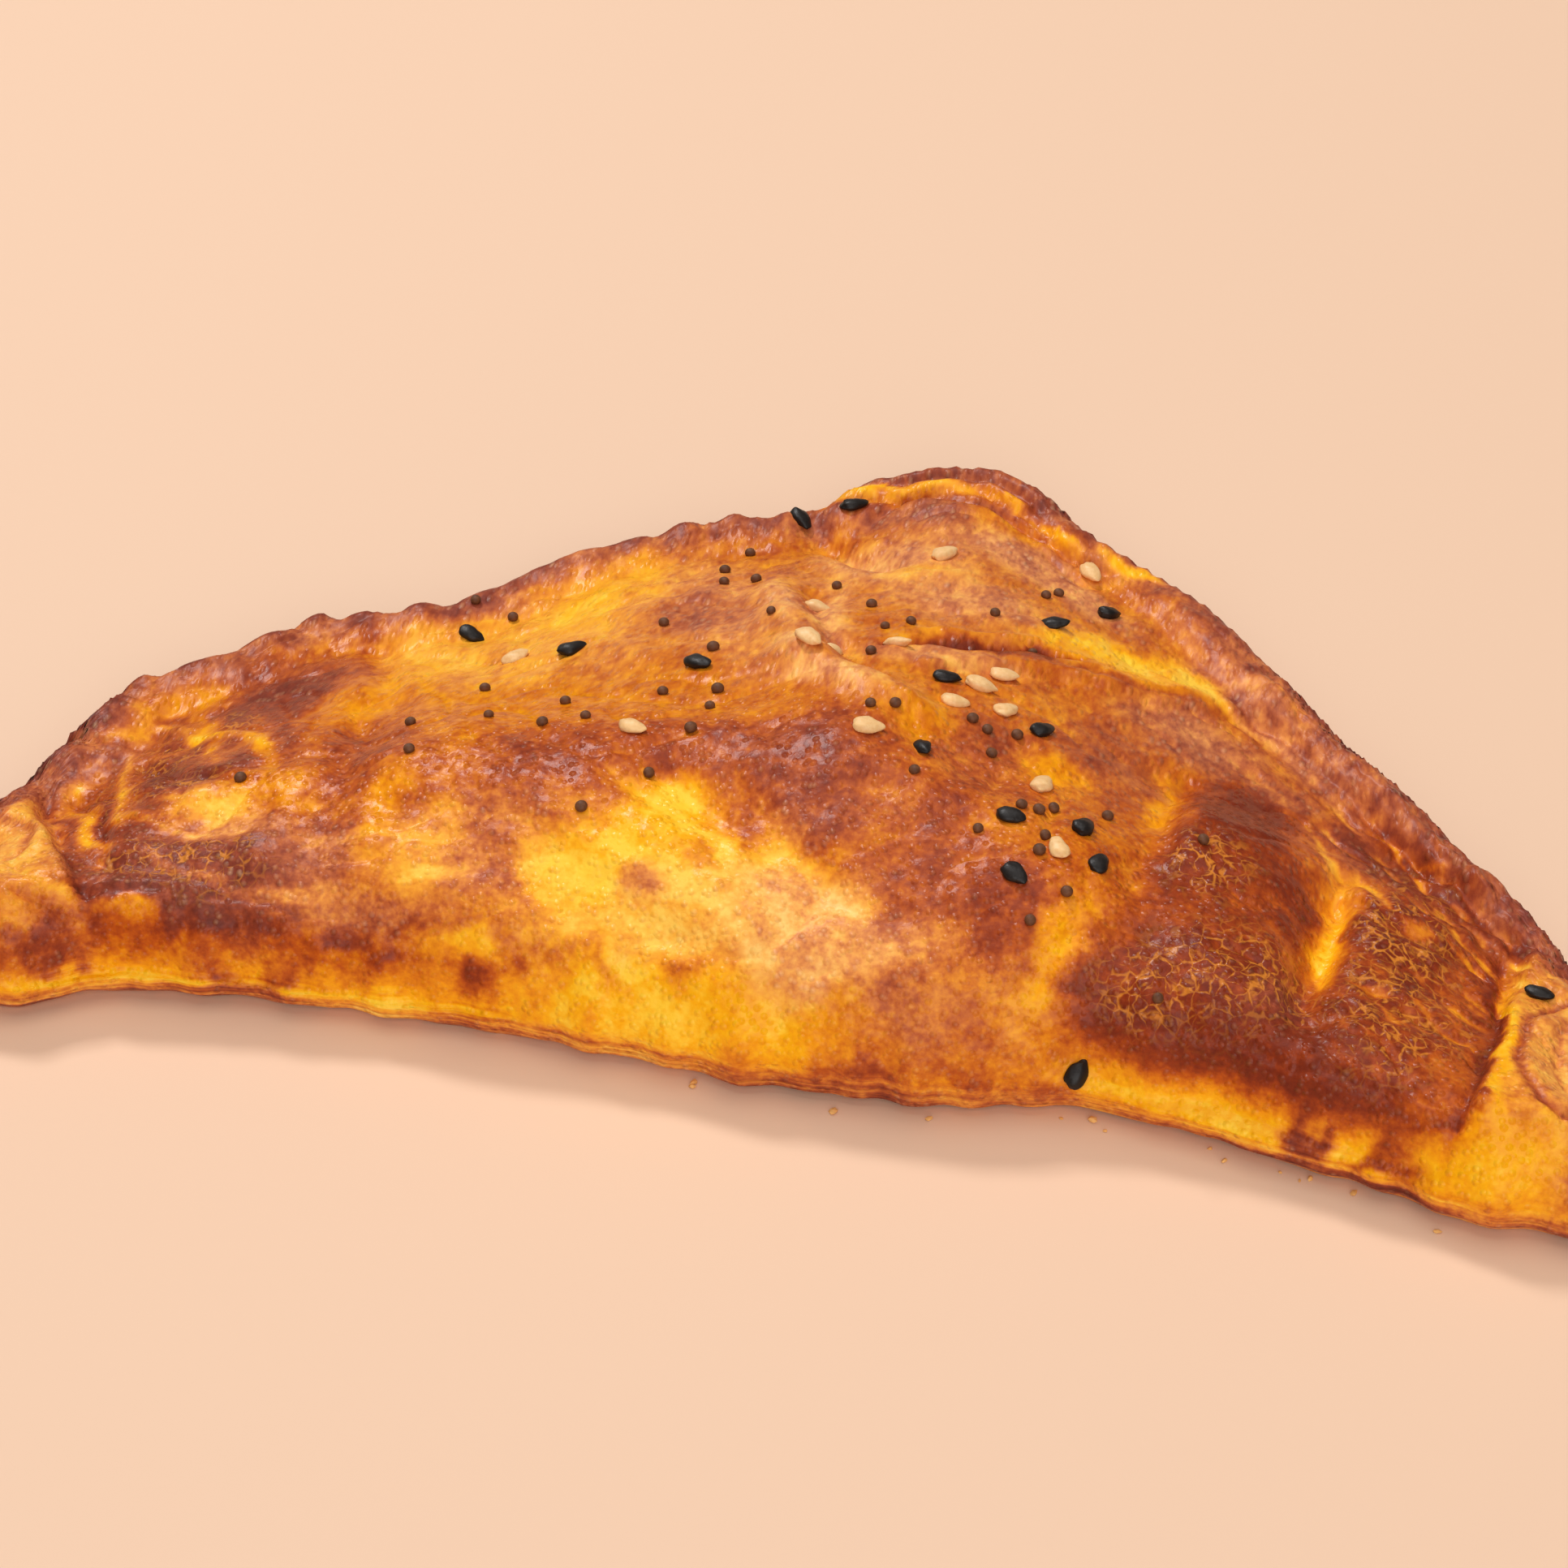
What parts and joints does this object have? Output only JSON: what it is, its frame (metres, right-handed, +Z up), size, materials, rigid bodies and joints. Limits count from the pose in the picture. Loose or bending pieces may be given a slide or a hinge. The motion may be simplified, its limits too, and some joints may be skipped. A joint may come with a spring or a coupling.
{
  "type": "baked turnover",
  "caption": "Triangular baked turnover with a swollen front fold, crimped legs, folded corners and a sprinkle of sesame and poppy seeds.",
  "frame": {"origin": "middle of the footprint's bounding rectangle, on the surface that the turnover rests on", "axes": "+X along the long front fold to the right, +Y from the fold to the back corner, +Z up"},
  "size_m": [0.168, 0.0966, 0.0208],
  "materials": {
    "baked_crust": "browned dough under a baked egg glaze",
    "black_sesame": "matte black seed coat",
    "white_sesame": "toasted cream seed coat",
    "poppy": "matte blue-grey seed coat"
  },
  "bodies": {
    "root": {"pastry": "baked_crust"}
  },
  "joints": []
}
